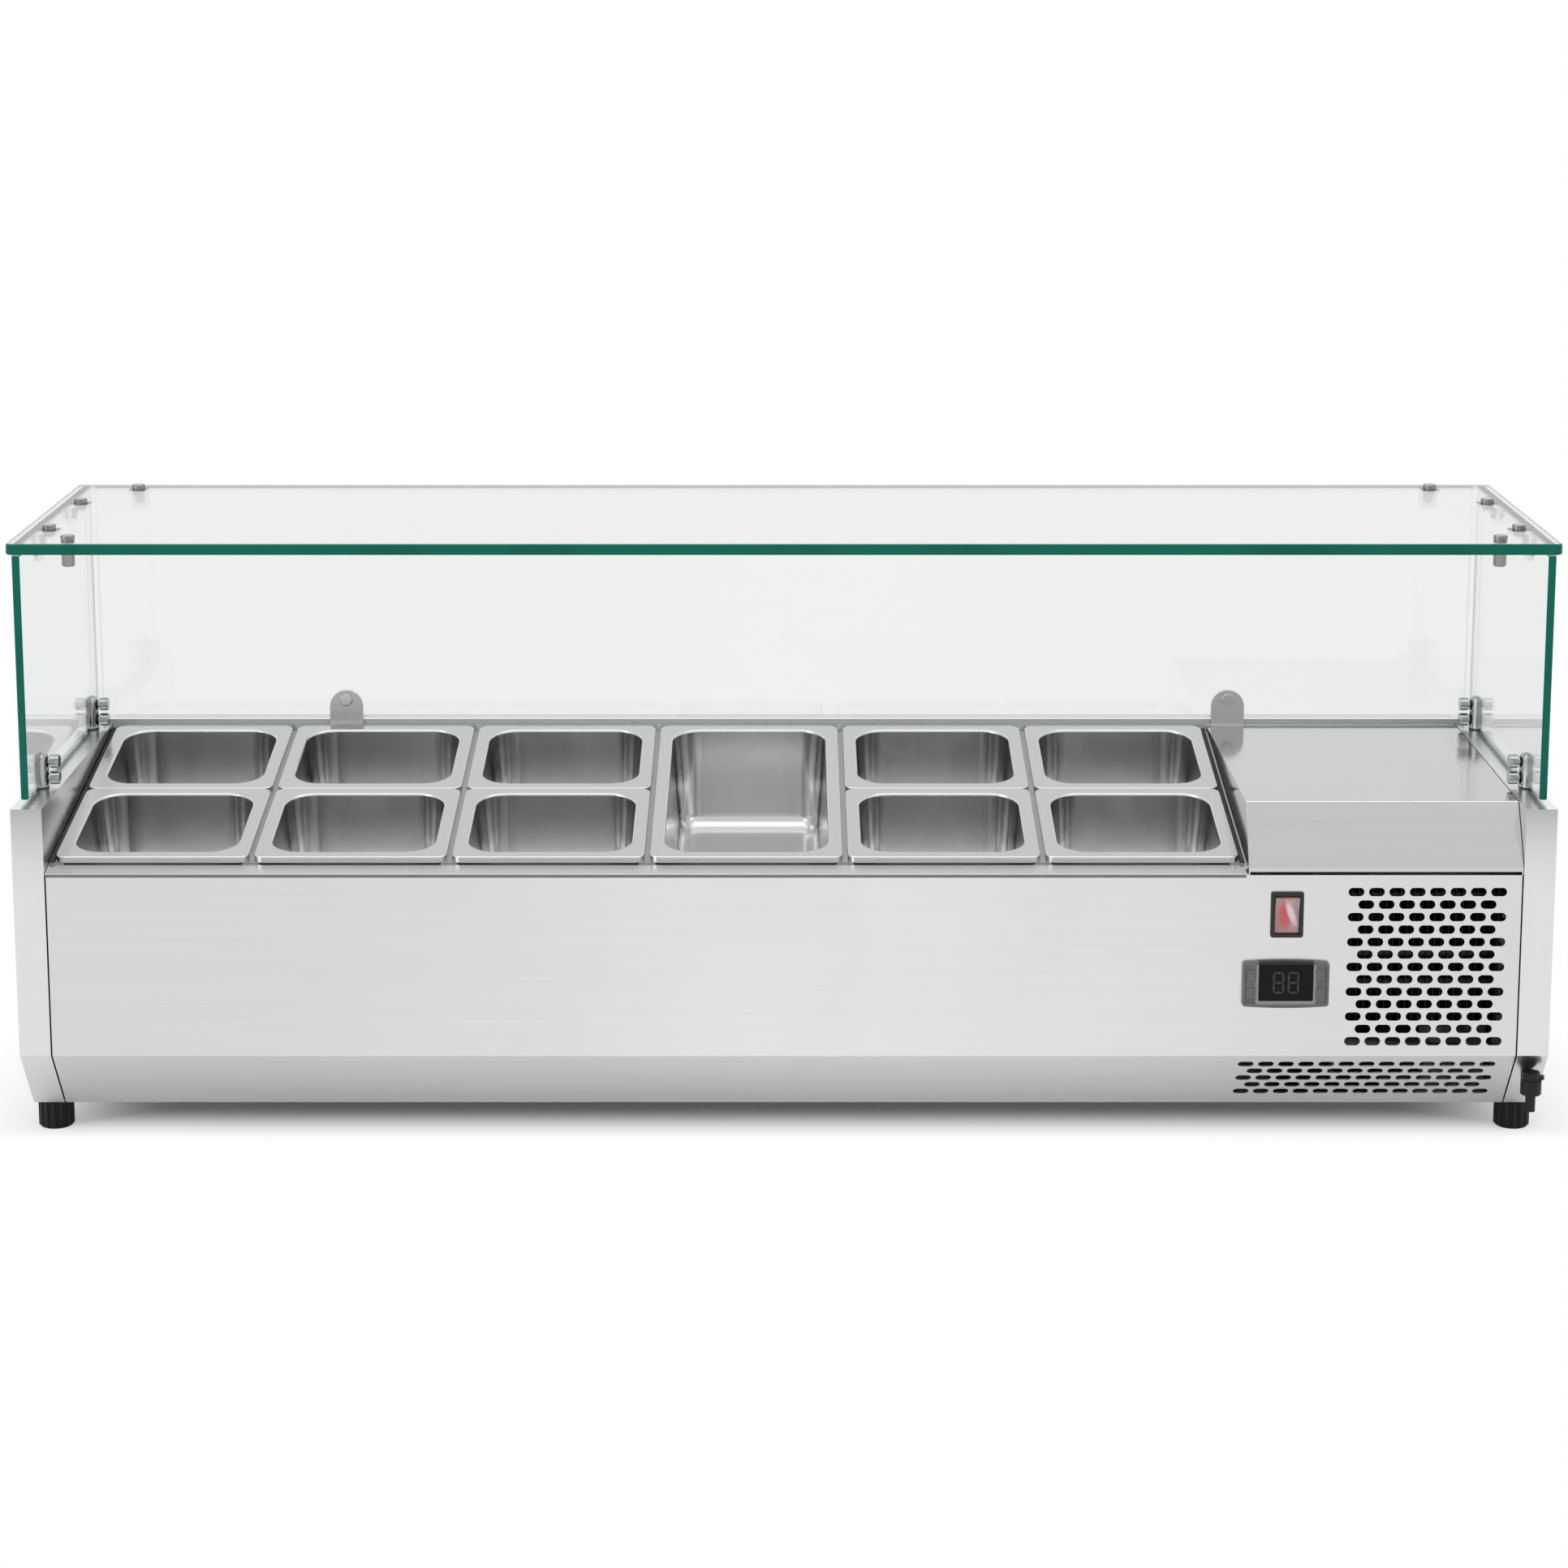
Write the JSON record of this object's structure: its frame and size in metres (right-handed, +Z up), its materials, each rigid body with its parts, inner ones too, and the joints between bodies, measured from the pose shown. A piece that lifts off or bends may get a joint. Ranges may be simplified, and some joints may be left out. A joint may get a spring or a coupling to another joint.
{
  "type": "refrigerated condiment station",
  "caption": "Countertop topping rail: stainless cabinet with sloping rows of gastronorm pans, machine bay with vents and controls, and a glass guard above.",
  "frame": {"origin": "bottom centre of the bounding box, on the counter", "axes": "+X along the unit to the operator's right, +Y away from the operator towards the customer, +Z up"},
  "size_m": [1.4, 0.4, 0.5657],
  "materials": {
    "casing_steel": "satin",
    "well_steel": "satin",
    "pan_steel": "polished",
    "glass": "clear float glass with green edges",
    "bright_metal": "polished",
    "clip_metal": "polished",
    "seal_rubber": "matte",
    "black_plastic": "matte",
    "rocker_red": "gloss, lit from inside when on",
    "controller_grey": "matte",
    "key_grey": "matte",
    "display": "gloss",
    "foot_rubber": "matte",
    "stud_zinc": "bright zinc",
    "foam": "cut foam",
    "copper": "drawn tube",
    "drain_hose": "matte",
    "machine_black": "satin paint",
    "fin_aluminium": "mill",
    "fan_plastic": "matte"
  },
  "bodies": {
    "cabinet": {"left_end_panel": "casing_steel", "right_end_panel": "casing_steel", "front_panel": "casing_steel", "rear_panel": "casing_steel", "base_plate": "casing_steel", "machine_cover": "casing_steel", "well_frame": "casing_steel", "bay_partition": "casing_steel", "well_liner": "well_steel", "divider_bars": "well_steel", "glass_top": "glass", "glass_left": "glass", "glass_right": "glass", "glass_rear": "glass", "glass_clamps": "bright_metal", "clamp_screws": "bright_metal", "rear_glass_brackets": "bright_metal", "glass_bolts": "bright_metal", "glass_clips": "clip_metal", "glass_seals": "seal_rubber", "compressor_mounts": "seal_rubber", "switch_housing": "black_plastic", "drain_tap_body": "black_plastic", "cable_gland": "black_plastic", "controller_housing": "controller_grey", "controller_window": "display", "insulation": "foam", "evaporator_tube": "copper", "refrigerant_pipes": "copper", "filter_drier": "copper", "drain_pipe": "drain_hose", "compressor": "machine_black", "fan_motor": "machine_black", "condenser": "fin_aluminium"},
    "sixth_pan_1_front": {"sixth_pan_1_front": "pan_steel"},
    "sixth_pan_1_rear": {"sixth_pan_1_rear": "pan_steel"},
    "sixth_pan_2_front": {"sixth_pan_2_front": "pan_steel"},
    "sixth_pan_2_rear": {"sixth_pan_2_rear": "pan_steel"},
    "sixth_pan_3_front": {"sixth_pan_3_front": "pan_steel"},
    "sixth_pan_3_rear": {"sixth_pan_3_rear": "pan_steel"},
    "sixth_pan_5_front": {"sixth_pan_5_front": "pan_steel"},
    "sixth_pan_5_rear": {"sixth_pan_5_rear": "pan_steel"},
    "sixth_pan_6_front": {"sixth_pan_6_front": "pan_steel"},
    "sixth_pan_6_rear": {"sixth_pan_6_rear": "pan_steel"},
    "third_pan": {"third_pan": "pan_steel"},
    "rocker": {"switch_rocker": "rocker_red"},
    "controller_key_left_upper": {"controller_key_left_upper": "key_grey"},
    "controller_key_left_lower": {"controller_key_left_lower": "key_grey"},
    "controller_key_right_upper": {"controller_key_right_upper": "key_grey"},
    "controller_key_right_lower": {"controller_key_right_lower": "key_grey"},
    "foot_left_front": {"foot_stud_left_front": "stud_zinc", "foot_pad_left_front": "foot_rubber"},
    "foot_left_back": {"foot_stud_left_back": "stud_zinc", "foot_pad_left_back": "foot_rubber"},
    "foot_right_front": {"foot_stud_right_front": "stud_zinc", "foot_pad_right_front": "foot_rubber"},
    "foot_right_back": {"foot_stud_right_back": "stud_zinc", "foot_pad_right_back": "foot_rubber"},
    "tap_handle": {"drain_tap_handle": "black_plastic"},
    "fan": {"fan_blades": "fan_plastic"}
  },
  "joints": [
    {"name": "sixth_pan_1_front_lift", "type": "slide", "parent": "cabinet", "child": "sixth_pan_1_front", "axis": [0, -0.153, 0.9882], "range_m": [0, 0.11]},
    {"name": "sixth_pan_1_rear_lift", "type": "slide", "parent": "cabinet", "child": "sixth_pan_1_rear", "axis": [0, -0.153, 0.9882], "range_m": [0, 0.11]},
    {"name": "sixth_pan_2_front_lift", "type": "slide", "parent": "cabinet", "child": "sixth_pan_2_front", "axis": [0, -0.153, 0.9882], "range_m": [0, 0.11]},
    {"name": "sixth_pan_2_rear_lift", "type": "slide", "parent": "cabinet", "child": "sixth_pan_2_rear", "axis": [0, -0.153, 0.9882], "range_m": [0, 0.11]},
    {"name": "sixth_pan_3_front_lift", "type": "slide", "parent": "cabinet", "child": "sixth_pan_3_front", "axis": [0, -0.153, 0.9882], "range_m": [0, 0.11]},
    {"name": "sixth_pan_3_rear_lift", "type": "slide", "parent": "cabinet", "child": "sixth_pan_3_rear", "axis": [0, -0.153, 0.9882], "range_m": [0, 0.11]},
    {"name": "sixth_pan_5_front_lift", "type": "slide", "parent": "cabinet", "child": "sixth_pan_5_front", "axis": [0, -0.153, 0.9882], "range_m": [0, 0.11]},
    {"name": "sixth_pan_5_rear_lift", "type": "slide", "parent": "cabinet", "child": "sixth_pan_5_rear", "axis": [0, -0.153, 0.9882], "range_m": [0, 0.11]},
    {"name": "sixth_pan_6_front_lift", "type": "slide", "parent": "cabinet", "child": "sixth_pan_6_front", "axis": [0, -0.153, 0.9882], "range_m": [0, 0.11]},
    {"name": "sixth_pan_6_rear_lift", "type": "slide", "parent": "cabinet", "child": "sixth_pan_6_rear", "axis": [0, -0.153, 0.9882], "range_m": [0, 0.11]},
    {"name": "third_pan_lift", "type": "slide", "parent": "cabinet", "child": "third_pan", "axis": [0, -0.153, 0.9882], "range_m": [0, 0.11]},
    {"name": "rocker_tilt", "type": "hinge", "parent": "cabinet", "child": "rocker", "pos_m": [0.457, -0.19196, 0.224], "axis": [-1, 0, 0], "range_deg": [0, 16]},
    {"name": "controller_key_left_upper_press", "type": "slide", "parent": "cabinet", "child": "controller_key_left_upper", "axis": [0, 1, 0], "range_m": [0, 0.0005], "stiffness_N_per_m": 800},
    {"name": "controller_key_left_lower_press", "type": "slide", "parent": "cabinet", "child": "controller_key_left_lower", "axis": [0, 1, 0], "range_m": [0, 0.0005], "stiffness_N_per_m": 800},
    {"name": "controller_key_right_upper_press", "type": "slide", "parent": "cabinet", "child": "controller_key_right_upper", "axis": [0, 1, 0], "range_m": [0, 0.0005], "stiffness_N_per_m": 800},
    {"name": "controller_key_right_lower_press", "type": "slide", "parent": "cabinet", "child": "controller_key_right_lower", "axis": [0, 1, 0], "range_m": [0, 0.0005], "stiffness_N_per_m": 800},
    {"name": "foot_left_front_screw", "type": "slide", "parent": "cabinet", "child": "foot_left_front", "axis": [0, 0, -1], "range_m": [0, 0.012]},
    {"name": "foot_left_back_screw", "type": "slide", "parent": "cabinet", "child": "foot_left_back", "axis": [0, 0, -1], "range_m": [0, 0.012]},
    {"name": "foot_right_front_screw", "type": "slide", "parent": "cabinet", "child": "foot_right_front", "axis": [0, 0, -1], "range_m": [0, 0.012]},
    {"name": "foot_right_back_screw", "type": "slide", "parent": "cabinet", "child": "foot_right_back", "axis": [0, 0, -1], "range_m": [0, 0.012]},
    {"name": "tap_turn", "type": "hinge", "parent": "cabinet", "child": "tap_handle", "pos_m": [0.686, -0.18896, 0.068], "axis": [0, 0, -1], "range_deg": [0, 90]},
    {"name": "fan_spin", "type": "hinge", "parent": "cabinet", "child": "fan", "pos_m": [0.58425, -0.09896, 0.1745], "axis": [0, 1, 0], "continuous": true}
  ]
}
